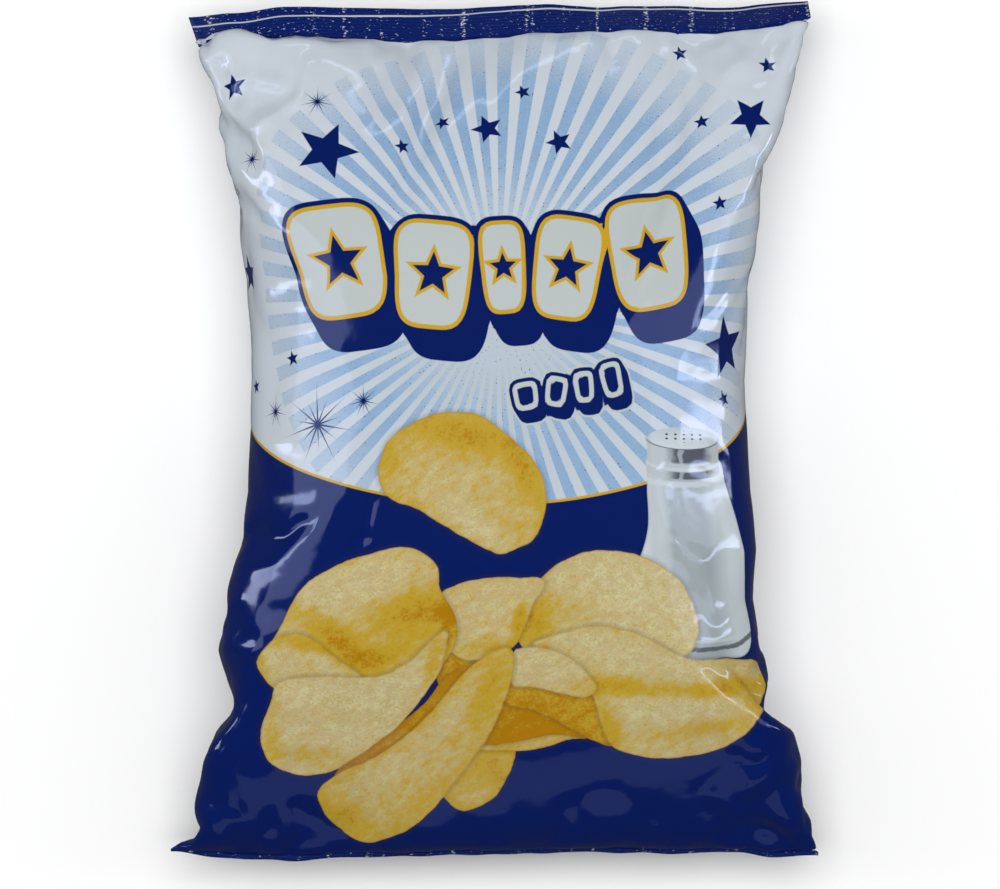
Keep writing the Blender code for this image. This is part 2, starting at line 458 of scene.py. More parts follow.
# The pictured crisps, from the back one to the front one. Each has how golden it is, from 0 for pale to 1 for
# deep gold, its outline, and patches that are more golden or, with a minus sign, paler than the rest:
# centre, half length, half width, turn in degrees and strength.
CRISPS = [
    ("back_sliver", 1.0, [
        (-21, -78), (-15, -79), (-8, -81), (-4, -88), (-12, -98), (-22, -98),
    ], []),
    ("round_right", 0.05, [
        (7, -74), (8, -64), (18, -53), (26, -46.5), (38, -42), (50, -42), (61, -44.5), (70, -49),
        (78, -56), (83, -66), (81.5, -76), (74, -84), (50, -92), (20, -90),
    ], [
        ((14, -70), 8, 13, 0, 0.85), ((30, -66), 16, 8, 15, 0.30), ((60, -56), 16, 9, -10, -0.2),
    ]),
    ("square_middle", 0.16, [
        (-23, -62), (-15, -56), (-4, -53.5), (8, -53), (20, -54), (15, -64), (8, -80), (-2, -86),
        (-14, -86), (-22, -76),
    ], [
        ((9, -71), 2.2, 9, -12, 0.8), ((-2, -81), 12, 3, 6, 0.55),
    ]),
    ("back_left", 0.24, [
        (-91.5, -91), (-84.5, -78), (-78.5, -64), (-73, -56), (-59, -47.5), (-49.5, -44.5), (-41, -42),
        (-34.5, -42), (-27.5, -45), (-23, -50), (-22, -58), (-16, -69), (-16, -82), (-30, -98),
        (-60, -106), (-84, -102),
    ], [
        ((-31, -68), 19, 8.5, 8, 0.80), ((-18, -72), 4, 13, 6, 0.6), ((-60, -80), 18, 6, -38, 0.75),
        ((-44, -86), 18, 6, 14, 0.55), ((-52, -58), 16, 9, 20, -0.25), ((-70, -62), 9, 7, -50, -0.25),
    ]),
    ("back_left_fold", 0.34, [
        (-93, -92), (-89.5, -84.5), (-84, -79), (-76, -77), (-68, -80.5), (-60.5, -87.5), (-53, -93),
        (-50, -99), (-66, -104), (-84, -103),
    ], [
        ((-72, -81), 12, 3, -18, 0.4), ((-82, -89), 8, 5, -40, -0.3), ((-66, -90), 7, 3.4, -30, -0.3),
    ]),
    ("small_low", 0.64, [
        (-20.5, -146), (-16, -151.5), (-11, -153), (-0.5, -147), (3.5, -140), (7, -131), (7, -122),
        (-4, -118), (-18, -124), (-24, -136),
    ], [
        ((-8, -146), 8, 4, 20, -0.35), ((-2, -134), 4, 10, 10, 0.2),
    ]),
    ("right_rim", 0.36, [
        (-12, -124), (8, -125), (19.5, -123), (27, -119.5), (33.5, -118.5), (30, -112), (10, -113),
        (-8, -116),
    ], [
        ((4, -117), 8, 3, 10, 0.4),
    ]),
    ("right_shadow", 1.25, [
        (-14, -118), (-3, -122.5), (6, -121.5), (23, -117.5), (33.5, -119), (36, -112), (26, -103),
        (7, -98), (-8, -100),
    ], []),
    ("right_underside", 1.0, [
        (4, -104.5), (14, -107), (24, -112.5), (34.5, -119), (42, -122), (48, -120), (54, -108), (50, -92),
        (24, -90), (3, -92),
    ], [
        ((44, -112), 8, 8, 0, -0.25),
    ]),
    ("long_right", 0.22, [
        (14, -79.5), (28, -74.5), (37, -72), (45, -72), (56, -74), (64, -78), (70.5, -81.5), (79, -84.5),
        (92, -85), (104, -84.5), (116, -85), (120.5, -90), (118.5, -98), (112, -105), (98, -110.5),
        (89.5, -117), (80.5, -123), (69.5, -126.5), (58, -127.5), (49, -125.5), (42.5, -122), (39, -114),
        (36, -98), (30, -89), (20, -84),
    ], [
        ((90, -97), 34, 3.2, 3, 0.75), ((46, -96.5), 12, 3.6, -6, 0.65), ((104, -103), 11, 5, 20, 0.4),
        ((74, -114), 20, 3.4, 14, 0.45), ((42, -114), 3.6, 12, 12, 0.5), ((66, -105), 20, 6, 4, -0.25),
        ((62, -84), 22, 6, -8, -0.30), ((34, -78), 10, 3.6, -10, -0.2),
    ]),
    ("pale_middle", 0.06, [
        (6.5, -96.5), (7, -83.5), (10, -81.5), (18.5, -81), (27.5, -84), (35, -90.5), (38.5, -98),
        (33, -101.5), (24.5, -100), (14, -97.5),
    ], [
        ((34, -97), 5, 4, 0, 0.4),
    ]),
    ("slot_gold", 1.12, [
        (-64, -139.5), (-60.5, -134), (-48.5, -123.5), (-38, -114.5), (-27.5, -105), (-21, -96),
        (-13.5, -90.5), (-8, -88), (-14, -98), (-26, -112), (-40, -125), (-55, -136),
    ], []),
    ("long_left", 0.10, [
        (-93, -119), (-92, -111), (-90, -105), (-87, -98.5), (-80.5, -95.5), (-69, -94.5), (-54, -94.5),
        (-44, -93.5), (-36, -89.5), (-30, -85), (-20, -74.5), (-18.5, -80), (-21.5, -91.5), (-27, -100.5),
        (-38, -115), (-48.5, -124.5), (-61.5, -134.5), (-69.5, -137.5), (-79.5, -138), (-88, -132.5),
        (-92, -125.5),
    ], [
        ((-72, -129), 18, 5.5, -8, 0.42), ((-88, -118), 3.5, 13, 8, 0.30), ((-24, -88), 3, 12, -16, 0.5),
        ((-58, -101), 26, 5, 2, -0.25),
    ]),
    ("diagonal", 0.40, [
        (-71.5, -150), (-69.5, -143.5), (-61, -136.5), (-48.5, -130), (-36, -120.5), (-26, -110),
        (-16, -97), (-8.5, -88.5), (-2, -83.5), (3, -81), (7, -83), (7, -92), (4, -103), (-1, -116.5),
        (-7.5, -128), (-16.5, -141.5), (-25, -153), (-36.5, -163), (-49.5, -169.5), (-58.5, -168),
        (-67.5, -160),
    ], [
        ((-60, -158), 13, 5, -42, 0.50), ((-3, -100), 4, 13, -22, 0.45), ((-30, -150), 14, 4, 42, 0.25),
        ((-44, -136), 20, 6, 40, -0.18), ((-18, -112), 12, 5, 52, -0.25),
    ]),
]
LONE_CRISP = [
    ("lone", 0.36, [
        (-50, -12), (-46, 0), (-39, 5.5), (-31, 9.5), (-23, 11.5), (-9, 11), (4, 3), (16, -8), (20.5, -21),
        (16, -36.5), (8, -41.5), (0, -43.5), (-17, -35.5), (-32, -27), (-45.5, -22),
    ], [
        ((-14, 3), 26, 6.5, -14, 0.60), ((12, -14), 5, 14, 24, 0.50), ((-45, -7), 5, 6, 0, 0.35),
        ((-10, -32), 18, 5, -38, -0.35), ((-18, -14), 14, 5, -10, -0.1), ((6, -34), 6, 4, 0, 0.2),
    ]),
]
SHAKER_GLASS = [
    (65, -4), (63, -12), (62.5, -28), (61, -36), (57.5, -46), (55, -60), (58, -76), (65, -82), (73, -84.5),
    (82, -85), (95, -84.5), (106, -83), (113, -79), (114.5, -68), (110.5, -54), (106.5, -38.5),
    (104, -26.5), (100, -14), (95, -4),
]


def carry_crisps(film, crisps, places):
    """Puts on the film, for each pictured crisp, the distance outside it and how golden it is there."""
    x, y = places.T
    for name, golden, outline, patches in crisps:
        gold = np.full(len(places), float(golden))
        for (centre_x, centre_y), half_length, half_width, turn, strength in patches:
            c, s = math.cos(math.radians(turn)), math.sin(math.radians(turn))
            along, across = (x - centre_x) * c + (y - centre_y) * s, (y - centre_y) * c - (x - centre_x) * s
            gold += strength * np.exp(-((along / half_length) ** 2) - (across / half_width) ** 2)
        distance = outside(smooth_outline(outline), places)
        carry(film, name, np.stack((distance, gold, distance), axis=1))


def face_centres(mesh, web):
    """Where the middle of each face lies in the print. All the faces have four corners."""
    corners = np.empty(len(mesh.loops), np.int32)
    mesh.loops.foreach_get("vertex_index", corners)
    return web[corners.reshape(-1, 4)].mean(axis=1)


print_places = web_of(film.data) * 1000
carry_plaques(film, "plaques", PLAQUES, PLAQUE_DROP, print_places)
carry_plaques(film, "tiles", TILES, TILE_DROP, print_places)
carry_nearest(film, "star", STARS, face_centres(film.data, print_places))
carry_nearest(film, "sparkle", SPARKLES, face_centres(film.data, print_places))
carry_crisps(film, CRISPS + LONE_CRISP, print_places)
carry(film, "glass", outside(smooth_outline(SHAKER_GLASS), print_places))


class Value:
    """A number that varies over a surface: a socket of a finish, which plain arithmetic can work with."""

    def __init__(self, finish, socket):
        self.finish, self.socket = finish, socket

    def maths(self, operation, *others, first=False):
        terms = (*others, self) if first else (self, *others)
        return self.finish.value("ShaderNodeMath", {"operation": operation}, dict(enumerate(terms)))

    def __add__(self, other):
        return self.maths("ADD", other)

    __radd__ = __add__

    def __sub__(self, other):
        return self.maths("SUBTRACT", other)

    def __rsub__(self, other):
        return self.maths("SUBTRACT", other, first=True)

    def __mul__(self, other):
        return self.maths("MULTIPLY", other)

    __rmul__ = __mul__

    def __truediv__(self, other):
        return self.maths("DIVIDE", other)

    def __pow__(self, other):
        return self.maths("POWER", other)

    def __abs__(self):
        return self.maths("ABSOLUTE")


class Finish:
    """A material that is built node by node."""

    def __init__(self, name, **constants):
        self.material = bpy.data.materials.new(name)
        self.material.use_nodes = True
        self.tree = self.material.node_tree
        self.shader = self.tree.nodes["Principled BSDF"]
        for socket, constant in constants.items():
            title = socket.replace("_", " ").title().replace("Ior", "IOR")
            self.shader.inputs[title].default_value = constant

    def node(self, kind, settings=None, inputs=None):
        """A node of that kind, with its settings made before its sockets are given values or links."""
        node = self.tree.nodes.new(kind)
        for setting, value in (settings or {}).items():
            setattr(node, setting, value)
        for socket, value in (inputs or {}).items():
            self.feed(node.inputs[socket], value)
        return node

    def feed(self, socket, value):
        """Links a socket to a value, or sets it to a constant."""
        if isinstance(value, Value):
            self.tree.links.new(value.socket, socket)
        elif isinstance(value, tuple) and len(value) == 3 and socket.type == "RGBA":
            socket.default_value = (*value, 1.0)
        else:
            socket.default_value = value

    def value(self, kind, settings=None, inputs=None, output=0):
        return Value(self, self.node(kind, settings, inputs).outputs[output])

    def parts_of(self, vector):
        """The three numbers of a vector."""
        split = self.node("ShaderNodeSeparateXYZ", inputs={0: vector})
        return [Value(self, split.outputs[part]) for part in range(3)]

    def printed_at(self, map_name="print"):
        """Across and along the piece's own map, in millimetres."""
        across, along, _ = self.parts_of(self.value("ShaderNodeUVMap", {"uv_map": map_name}))
        return across * 1000, along * 1000

    def carried(self, name):
        """A number that the mesh carries."""
        return self.value("ShaderNodeAttribute", {"attribute_name": name}, output=2)

    def carried_row(self, name):
        """The row of three numbers that the mesh carries."""
        return self.parts_of(self.value("ShaderNodeAttribute", {"attribute_name": name}, output=1))

    def point(self, x, y, z=0.0):
        return self.value("ShaderNodeCombineXYZ", inputs={0: x, 1: y, 2: z})

    def ink(self, mask, under, over):
        """The colour over laid on the colour under, where the mask is 1."""
        settings = {"data_type": "RGBA", "clamp_factor": True}
        return self.value("ShaderNodeMix", settings, {0: mask, 6: under, 7: over}, output=2)

    def noise(self, at, size, detail=2.0, roughness=0.5):
        """Smooth noise, from 0 to 1, of that size in the units of at."""
        inputs = {"Vector": at, "Scale": 1 / size, "Detail": detail, "Roughness": roughness}
        return self.value("ShaderNodeTexNoise", {"noise_dimensions": "3D"}, inputs)

    def between(self, value, low, high):
        """0 where the value is low, 1 where it is high, and straight between."""
        inputs = {"Value": value, "From Min": low, "From Max": high}
        return self.value("ShaderNodeMapRange", {"clamp": True}, inputs)

    def eased_between(self, value, low, high):
        """0 where the value is low, 1 where it is high, and smooth between."""
        settings = {"clamp": True, "interpolation_type": "SMOOTHSTEP"}
        inputs = {"Value": value, "From Min": low, "From Max": high}
        return self.value("ShaderNodeMapRange", settings, inputs)


EDGE = 0.16  # how soft a printed edge is, in millimetres


def within(finish, distance):
    """The mask of a printed shape, from the distance outside its edge."""
    return finish.between(distance, EDGE, -EDGE)


def length_of(x, y):
    return (x * x + y * y) ** 0.5


def from_spoke(dx, dy, turn, count):
    """How many radians a direction lies off the nearest of a number of even spokes, one of them up."""
    step = math.tau / count
    around = (dx.maths("ARCTAN2", dy) + turn * math.radians(1)) / step
    return abs(around - around.maths("ROUND")) * step


# The sunburst and the field behind it.
SUN_CENTRE = (-1.0, 55.0)
RAY_ENDS, RAY_ENDS_RADIUS = (10.5, 63.0), 115.3  # the circle that the rays stop at
RAYS = 60
RAY_TURN = -1.2  # degrees
RAY_FILL = 0.53  # of the way round
GOLD_ARC_CENTRE, GOLD_ARC_RADIUS = (-6.0, 225.7), 250.0
GOLD_ARC_WIDTH = 1.1
TOP_BAND = 176.0  # the navy band under the top seal starts this far up the web


def lay_field(finish, x, y):
    """The pale field with its rays, and the navy below the gold line."""
    at = finish.point(x, y)
    dx, dy = x - SUN_CENTRE[0], y - SUN_CENTRE[1]
    out = length_of(dx, dy)
    grain = finish.noise(at, 0.55, detail=1.0)
    patches = finish.noise(at, 9.0, detail=2.0)
    off_ray = (from_spoke(dx, dy, RAY_TURN, RAYS) - math.pi / RAYS * RAY_FILL) * out
    past_end = length_of(x - RAY_ENDS[0], y - RAY_ENDS[1]) - RAY_ENDS_RADIUS
    ray = within(finish, off_ray) * within(finish, past_end)
    strength = finish.eased_between(out, 16, 66) * (1 - 0.55 * finish.eased_between(past_end, -36, 0))
    strength = strength * (0.80 + 0.40 * patches)
    faint = finish.eased_between(abs(out - 66), 22, 58)
    stipple = finish.between(grain - 0.30 * faint, 0.30, 0.36)
    glow = 1 - finish.eased_between(length_of(dx, dy + 28), 14, 92)
    field = finish.ink(glow, PALE, GLOW)
    field = finish.ink(ray * strength * (0.52 + 0.48 * stipple), field, RAY_BLUE)
    specks = finish.between(finish.noise(finish.point(x, y, 9.0), 0.7, detail=0.0), 0.745, 0.775)
    edge_of_ray = finish.eased_between(off_ray, -1.7, -0.3)
    field = finish.ink(specks * ray * (0.25 + 0.75 * edge_of_ray), field, SPECK_BLUE)
    below = GOLD_ARC_RADIUS - length_of(x - GOLD_ARC_CENTRE[0], y - GOLD_ARC_CENTRE[1])
    field = finish.ink(within(finish, below), field, NAVY)
    field = finish.ink(within(finish, abs(below) - GOLD_ARC_WIDTH / 2), field, GOLD_LINE)
    band = TOP_BAND + 1.3 * finish.noise(finish.point(x, 0.0), 14.0, detail=3.0) - y
    return finish.ink(within(finish, band), field, NAVY)


def lay_plaques(finish, field):
    """The blank plaques and small tiles on their navy blocks, and the mask of the plaques' faces."""
    tile, tile_block, _ = finish.carried_row("tiles")
    field = finish.ink(within(finish, tile_block - 1.9), field, FACE_WHITE)
    field = finish.ink(within(finish, tile_block - 1.1), field, NAVY)
    field = finish.ink(within(finish, tile + 0.4), field, FACE_WHITE)
    field = finish.ink(within(finish, tile + 2.4), field, NAVY)
    plaque, block, _ = finish.carried_row("plaques")
    field = finish.ink(within(finish, block - 2.4), field, NAVY)
    field = finish.ink(within(finish, plaque - 0.4), field, GOLD_LINE)
    face = within(finish, plaque + 1.3)
    return finish.ink(face, field, FACE_WHITE), face


STAR_SIDE = math.radians(68)  # how far a star's side turns away from its tip
SPARKLE_SPOKES = 14  # every other one is short


def lay_stars(finish, field, x, y, faces):
    """The navy stars, which have a gold rim where they are cut out of a plaque, and the sparkles."""
    centre_x, centre_y, radius = finish.carried_row("star")
    dx, dy = x - centre_x, y - centre_y
    off_tip = from_spoke(dx, dy, finish.carried("star_turn"), 5)
    distance = length_of(dx, dy) * (off_tip - STAR_SIDE).maths("COSINE") - radius * math.cos(STAR_SIDE)
    field = finish.ink(within(finish, distance - 1.2) * faces, field, GOLD_LINE)
    field = finish.ink(within(finish, distance), field, NAVY)
    centre_x, centre_y, radius = finish.carried_row("sparkle")
    dx, dy = x - centre_x, y - centre_y
    turn = finish.carried("sparkle_turn")
    out = length_of(dx, dy)
    long_spoke = finish.between(from_spoke(dx, dy, turn, SPARKLE_SPOKES / 2), 0.30, 0.15)
    tapered = (0.26 + 0.012 * radius) * (1 - out / (radius * (0.62 + 0.38 * long_spoke)))
    spoke = out * from_spoke(dx, dy, turn, SPARKLE_SPOKES).maths("SINE") - tapered
    return finish.ink(within(finish, spoke), field, NAVY)


CRISP_PALE = (0.430, 0.355, 0.140)
CRISP_CREAM = (0.540, 0.495, 0.290)
CRISP_BEIGE = (0.460, 0.345, 0.200)
CRISP_GOLD = (0.440, 0.290, 0.022)
CRISP_DEEP = (0.360, 0.165, 0.001)
CRISP_BROWN = (0.230, 0.105, 0.004)
CRISP_SHADE = (0.03, 0.02, 0.02)


def lay_crisps(finish, field, x, y, crisps):
    """Pictured crisps: a thin darker rim, a grainy surface that is golden in patches, and a shade behind."""
    at = finish.point(x, y)
    ripple = (finish.noise(at, 6.0, detail=2.0) - 0.5) * 2.2
    slanted = finish.point(x + y * 0.7, (y - x * 0.7) * 2.2, 5.0)
    streaks = finish.noise(slanted, 7.0, detail=4.0, roughness=0.62)
    grain = finish.noise(at, 1.1, detail=2.0, roughness=0.7)
    spots = finish.noise(finish.point(x, y, 8.0), 3.2, detail=2.0, roughness=0.6)
    surface = finish.ink(finish.eased_between(grain * 0.6 + spots * 0.4, 0.40, 0.60), CRISP_PALE, CRISP_CREAM)
    surface = finish.ink(finish.eased_between(grain + streaks, 0.90, 1.20) * 0.7, surface, CRISP_BEIGE)
    mottle = streaks * 0.70 + 0.18 + (spots - 0.5) * 0.75 + (grain - 0.5) * 0.7
    flecks = finish.noise(finish.point(x, y * 1.6, 4.0), 1.7, detail=3.0, roughness=0.7)
    flecks = finish.eased_between(flecks, 0.57, 0.68)
    for name, *_ in crisps:
        distance, golden, _ = finish.carried_row(name)
        distance = distance + ripple * 0.5
        toward_rim = finish.eased_between(distance, -5.5, 0.0)
        amount = mottle + golden * 0.82 + toward_rim * 0.10
        body = finish.ink(finish.eased_between(amount, 0.56, 1.10), surface, CRISP_GOLD)
        body = finish.ink(flecks * 0.55, body, CRISP_GOLD)
        body = finish.ink(finish.eased_between(amount, 1.12, 1.60), body, CRISP_DEEP)
        body = finish.ink(finish.between(distance, -0.75, -0.05) * 0.4, body, CRISP_BROWN)
        shade = finish.eased_between(distance, 2.2, 0.0) * 0.26
        field = finish.ink(shade, field, CRISP_SHADE)
        field = finish.ink(within(finish, distance), field, body)
    return field


GLASS = (0.305, 0.350, 0.370)
GLASS_LIGHT = (0.500, 0.555, 0.580)
GLASS_DARK = (0.060, 0.075, 0.085)
STEEL = (0.400, 0.440, 0.460)
STEEL_DARK = (0.030, 0.034, 0.037)
CAP_MIDDLE, CAP_HALF_WIDTH = 80.2, 17.0
CAP_TOP, CAP_GROOVE, CAP_FOOT = 2.6, -6.2, -10.0


def lay_shaker(finish, field, x, y):
    """The glass salt shaker with its pierced steel cap."""
    body = finish.carried("glass")
    down = finish.between(y, -9.0, -84.0)
    side = (x - 79.0 - down * 5.5) / (17.5 + down * 9.0)
    glass = finish.ink(finish.eased_between(abs(side + 0.10), 0.35, 1.0), GLASS, GLASS_LIGHT)
    glass = finish.ink(finish.eased_between(abs(side + 0.62), 0.24, 0.05) * 0.55, glass, GLASS_LIGHT)
    glass = finish.ink(finish.eased_between(abs(side - 0.80), 0.07, 0.02) * 0.7, glass, GLASS_LIGHT)
    glass = finish.ink(finish.between(body, -0.9, -0.1) * 0.25, glass, GLASS_DARK)
    base = y + 80.6 - 4.4 * side * side
    swirl = finish.noise(finish.point(x, y * 3.0, 1.0), 2.2, detail=2.0)
    glass = finish.ink(finish.eased_between(abs(base) - swirl * 1.2, 0.7, 0.0) * 0.85, glass, GLASS_DARK)
    glass = finish.ink(finish.eased_between(abs(base - 3.2), 0.9, 0.1) * 0.6, glass, GLASS_LIGHT)
    rings = finish.eased_between(abs(y + 15.4 - 2.0 * side * side) - swirl * 1.4, 1.0, 0.0)
    glass = finish.ink(rings * 0.75, glass, GLASS_LIGHT)
    field = finish.ink(within(finish, body), field, glass)

    side = (x - CAP_MIDDLE) / CAP_HALF_WIDTH
    sag = (1 - side * side).maths("MAXIMUM", 0.0) ** 0.5
    height = y + sag * 3.4
    skirt = (abs(x - CAP_MIDDLE) - CAP_HALF_WIDTH).maths("MAXIMUM", y - CAP_TOP)
    skirt = skirt.maths("MAXIMUM", CAP_FOOT - height)
    smeared = side + (finish.noise(finish.point(x, y), 3.0, detail=2.0) - 0.5) * 0.3
    dark = finish.eased_between(abs(smeared - 0.14), 0.72, 0.34)
    dark = dark * (1 - 0.6 * finish.eased_between(abs(smeared + 0.12), 0.10, 0.03))
    bands = finish.eased_between(abs(height - 0.2), 4.6, 3.2)
    bands = bands + finish.eased_between(abs(height + 8.6), 1.9, 1.1)
    steel = finish.ink(dark * bands * 0.97, STEEL, STEEL_DARK)
    steel = finish.ink(finish.eased_between(abs(height - CAP_GROOVE), 0.9, 0.3) * 0.6, steel, GLASS_LIGHT)
    field = finish.ink(within(finish, skirt), field, steel)
    plate = (((x - CAP_MIDDLE) / 16.6) ** 2.0 + ((y - 3.0) / 4.3) ** 2.0) ** 0.5
    plate = (plate - 1) * 4.3
    under = finish.between(y, 4.0, 0.0)
    field = finish.ink(within(finish, plate - 0.3) * under, field, GLASS_DARK)
    tone = finish.ink(finish.between(y, -1.0, 7.5), GLASS_LIGHT, STEEL)
    field = finish.ink(within(finish, plate), field, tone)
    across, along = x / 4.0, (y - 3.6) / 1.7 + 0.5
    hole_x = abs(across - across.maths("ROUND")) * 4.0
    hole_y = abs(along - along.maths("ROUND")) * 1.7
    near = (((x - CAP_MIDDLE) / 10.0) ** 2.0 + ((y - 3.6) / 2.4) ** 2.0) ** 0.5
    holes = within(finish, length_of(hole_x, hole_y * 1.5) - 0.62) * finish.between(near, 1.05, 0.95)
    return finish.ink(holes, field, STEEL_DARK)


BACK_PANEL = (195.0, -95.0, 38.0, 52.0)  # its middle, across and along, and half its width and height


def lay_back(finish, field, x, y):
    """Two blank panels on the back, one each side of its seam."""
    middle, along, half_across, half_along = BACK_PANEL
    corner = ((abs(x) - middle) / half_across) ** 10.0 + (abs((y - along) / half_along)) ** 10.0
    panel = (corner ** 0.1 - 1) * half_across
    field = finish.ink(within(finish, panel - 1.2), field, GOLD_LINE)
    return finish.ink(within(finish, panel), field, PALE)


GLOSS_TINT = (0.55, 0.65, 1.0, 1.0)  # what the film reflects is a little bluer than the light

film_finish = Finish("printed_film_gloss", ior=1.5, specular_ior_level=0.75, specular_tint=GLOSS_TINT)
web_x, web_y = film_finish.printed_at()
# The rays and the gold line go on over the sides, so the back is laid out as the front's mirror image.
round_side = (abs(web_x) - FILM_WIDTH * 500).maths("MAXIMUM", 0.0)
tube_x = web_x - web_x.maths("SIGN") * round_side * 2
colour = lay_field(film_finish, tube_x, web_y)
colour, plaque_faces = lay_plaques(film_finish, colour)
colour = lay_stars(film_finish, colour, web_x, web_y, plaque_faces)
colour = lay_shaker(film_finish, colour, web_x, web_y)
colour = lay_crisps(film_finish, colour, web_x, web_y, CRISPS + LONE_CRISP)
colour = lay_back(film_finish, colour, web_x, web_y)
smudge = film_finish.noise(film_finish.point(web_x, web_y, 2.0), 38.0, detail=3.0, roughness=0.6)
film_finish.feed(film_finish.shader.inputs["Base Color"], colour)
film_finish.feed(film_finish.shader.inputs["Roughness"], 0.05 + 0.08 * smudge)
crinkle = film_finish.noise(film_finish.point(web_x, web_y), 13.0, detail=2.0, roughness=0.45)
bump = film_finish.value("ShaderNodeBump", inputs={"Strength": 0.14, "Distance": 0.0010, "Height": crinkle})
film_finish.feed(film_finish.shader.inputs["Normal"], bump)
film.data.materials.append(film_finish.material)


PRINT_SQUARE = 0.394  # the side of the square that the print is laid out over
BACK_LEFT = 0.665  # where the back's left edge comes in it, as a share of its side


def spread_out(mesh):
    """Lays the print out over one square for an export: the front large, and the back half as large."""
    flat = np.empty(len(mesh.loops) * 2, np.float32)
    mesh.uv_layers["print"].data.foreach_get("uv", flat)
    u, v = flat.reshape(-1, 4, 2).transpose(2, 0, 1)
    across, half = u.mean(axis=1, keepdims=True), FILM_WIDTH / 2
    back = np.where(across > 0, u - half, u + 3 * half)
    front = np.abs(across) < half
    laid_u = np.where(front, (u + half) / PRINT_SQUARE, BACK_LEFT + back / PRINT_SQUARE / 2)
    laid_v = np.where(front, 1, 0.5) * (v + WEB_END) / PRINT_SQUARE
    laid = np.clip(np.stack((laid_u, laid_v), axis=-1), 0, 1)
    mesh.uv_layers.new(name="OFBake").data.foreach_set("uv", laid.astype(np.float32).ravel())


spread_out(film.data)
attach(film, "root")
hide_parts("bag")

# ---------------------------------------------------------------------------------------------------------
# The seals: at each end both layers of the film are pressed between hot ribbed jaws, which leaves a stiff
# navy strip with fine ribs along it. The top one leans back, and the bottom one is folded down the end.

SEAL_THICKNESS = 0.0004
RIB_PITCH = 0.0014
RIB_HEIGHT = 0.00008
SEAL_COLUMNS, SEAL_ROWS = 130, 64
SEAL_TUCK = 0.0028  # how far a strip reaches into the film's mouth
FOLD_RADIUS = 0.0012  # of the bend where a strip leaves the film
TOP_FOLD = [  # how far the top strip is bent down at the back, in radians, at these places across it
    (-0.130, 0.08), (-0.050, 0.20), (0.010, 0.42), (0.045, 0.75), (0.095, 0.70), (0.130, 0.95),
]
BOTTOM_FOLD = [(-0.130, 1.58), (0.130, 1.60)]
# How far a strip's outer edge goes past the inner one, at its left end and at its right one.
TOP_FLARE, BOTTOM_FLARE = (-0.0050, -0.0008), (0.0, 0.0)
CRIMP_WAVE = 0.0006  # how unevenly a strip lies
TUCK_IN = 1.6  # how steeply the ends of the tucked part draw in, to stay inside the mouth


def seal_strip(name, line, side, fold, flare):
    """A crimped strip that goes on from the line where the film is pinched, up (1) or down (-1) the bag."""
    bm = bmesh.new()
    bmesh.ops.create_grid(bm, x_segments=SEAL_COLUMNS, y_segments=SEAL_ROWS, size=0.5)
    print_map = bm.loops.layers.uv.new("print")
    length = SEAL_HEIGHT + SEAL_TUCK
    for face in bm.faces:
        for loop in face.loops:
            loop[print_map].uv = (loop.vert.co.x * FILM_WIDTH, (loop.vert.co.y + 0.5) * length - SEAL_TUCK)
    for vert in bm.verts:
        across, share = vert.co.x * FILM_WIDTH, vert.co.y + 0.5
        out = share * length - SEAL_TUCK
        lean = eased(fold, across)
        bent = min(max(0.0, out / FOLD_RADIUS), lean)
        straight = max(0.0, out - FOLD_RADIUS * lean)
        away = min(0.0, out) + FOLD_RADIUS * math.sin(bent) + straight * math.cos(lean)
        down = FOLD_RADIUS * (1 - math.cos(bent)) + straight * math.sin(lean)
        rib = RIB_HEIGHT * math.sin(math.tau * out / RIB_PITCH)
        rib += CRIMP_WAVE * noise.noise(Vector((across / 0.011, out / 0.030, 5.3)))
        along = 2 * across / FILM_WIDTH
        shift = share * (flare[0] * max(0.0, -along) ** 3 + flare[1] * max(0.0, along) ** 3)
        shift += TUCK_IN * min(0.0, out) * math.copysign(abs(along) ** 6, along)
        beside = Vector((shift, side * (away + rib * math.sin(bent)), rib * math.cos(bent) - down))
        vert.co = line(across) + beside
    strip = new_piece(name, bm)
    wall = strip.modifiers.new("two layers", "SOLIDIFY")
    wall.thickness = SEAL_THICKNESS
    wall.offset = 0
    applied(strip)
    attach(strip, "root")
    return strip


top_seal = seal_strip("top_seal", top_seal_point, 1, TOP_FOLD, TOP_FLARE)
bottom_seal = seal_strip("bottom_seal", bottom_seal_point, -1, BOTTOM_FOLD, BOTTOM_FLARE)

WHITE_LINE = 7.9  # the fine white line's height on the strip, in millimetres
seal_finish = Finish("crimped_seal_gloss", ior=1.5, specular_ior_level=0.6, specular_tint=GLOSS_TINT)
seal_x, seal_y = seal_finish.printed_at()
clusters = seal_finish.noise(seal_finish.point(seal_x, 0.0), 7.0, detail=2.0)
clusters = seal_finish.eased_between(clusters, 0.54, 0.66)
flecks = seal_finish.noise(seal_finish.point(seal_x * 0.9, seal_y * 2.4, 3.0), 1.2, detail=2.0)
scuffs = seal_finish.eased_between(flecks + clusters * 0.16, 0.68, 0.75)
seal_colour = seal_finish.ink(scuffs * 0.8, NAVY, PALE)
rising = WHITE_LINE + 2.2 * seal_finish.eased_between(seal_x, -120.0, 60.0)
seal_colour = seal_finish.ink(within(seal_finish, abs(seal_y - rising) - 0.28), seal_colour, FACE_WHITE)
seal_finish.feed(seal_finish.shader.inputs["Base Color"], seal_colour)
seal_finish.feed(seal_finish.shader.inputs["Roughness"], 0.14 + 0.2 * flecks)
for strip in (top_seal, bottom_seal):
    strip.data.materials.append(seal_finish.material)

# ---------------------------------------------------------------------------------------------------------
# The back seam: the web's two edges lapped over each other and welded along the middle of the back, between
# the seals. The lap is a stiff flat band that stands a little proud of the film under it.

LAP_WIDTH = 0.012
LAP_SPARE = 0.0008  # lets in the faces that the lap's edge runs through

